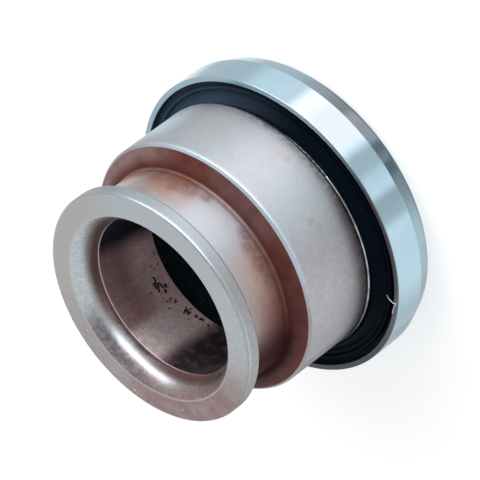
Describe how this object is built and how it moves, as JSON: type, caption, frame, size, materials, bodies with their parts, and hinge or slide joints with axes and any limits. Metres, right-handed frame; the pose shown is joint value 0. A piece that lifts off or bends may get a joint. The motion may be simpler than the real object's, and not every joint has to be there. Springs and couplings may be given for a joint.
{
  "type": "clutch release bearing",
  "caption": "Self-centring clutch release bearing: sintered collar with flange, fork groove and grease-recessed bore, carrying a sealed angular contact ball bearing with a bright contact ring.",
  "frame": {"origin": "centre of the contact face, on the axis of the bearing, with the part standing on that face", "axes": "+Z along the bearing axis from the contact face to the flange; +X from the bearing axis to the collar axis, which lies 0.95 mm away because the self-centring bearing was left off centre"},
  "size_m": [0.0658, 0.0658, 0.0462],
  "materials": {
    "sintered_iron": "satin sintered iron, faintly heat tinted",
    "ring_steel": "ground and polished",
    "seal_rubber": "glossy black",
    "race_steel": "ground",
    "ball_steel": "polished",
    "cage_nylon": "moulded",
    "spring_steel": "dark spring steel"
  },
  "bodies": {
    "sleeve": {"collar": "sintered_iron", "snap_ring": "spring_steel"},
    "washer": {"disc_spring": "spring_steel"},
    "race": {"inner_race": "race_steel"},
    "contact_ring": {"outer_ring": "ring_steel", "front_seal": "seal_rubber", "rear_seal": "seal_rubber"},
    "ball_set": {"cage": "cage_nylon", "ball_01": "ball_steel", "ball_02": "ball_steel", "ball_03": "ball_steel", "ball_04": "ball_steel", "ball_05": "ball_steel", "ball_06": "ball_steel", "ball_07": "ball_steel", "ball_08": "ball_steel", "ball_09": "ball_steel", "ball_10": "ball_steel", "ball_11": "ball_steel", "ball_12": "ball_steel", "ball_13": "ball_steel", "ball_14": "ball_steel", "ball_15": "ball_steel", "ball_16": "ball_steel", "ball_17": "ball_steel", "ball_18": "ball_steel", "ball_19": "ball_steel", "ball_20": "ball_steel"}
  },
  "joints": [
    {"name": "float_x", "type": "slide", "parent": "sleeve", "child": "washer", "axis": [1, 0, 0], "range_m": [-0.00005, 0.00195]},
    {"name": "float_y", "type": "slide", "parent": "washer", "child": "race", "axis": [0, 1, 0], "range_m": [-0.001, 0.001]},
    {"name": "ring_spin", "type": "hinge", "parent": "race", "child": "contact_ring", "pos_m": [0, 0, 0], "axis": [0, 0, 1], "continuous": true},
    {"name": "cage_orbit", "type": "hinge", "parent": "race", "child": "ball_set", "pos_m": [0, 0, 0], "axis": [0, 0, 1], "continuous": true}
  ],
  "couplings": [
    {"joint": "cage_orbit", "follows": "ring_spin", "ratio": 0.5387}
  ]
}
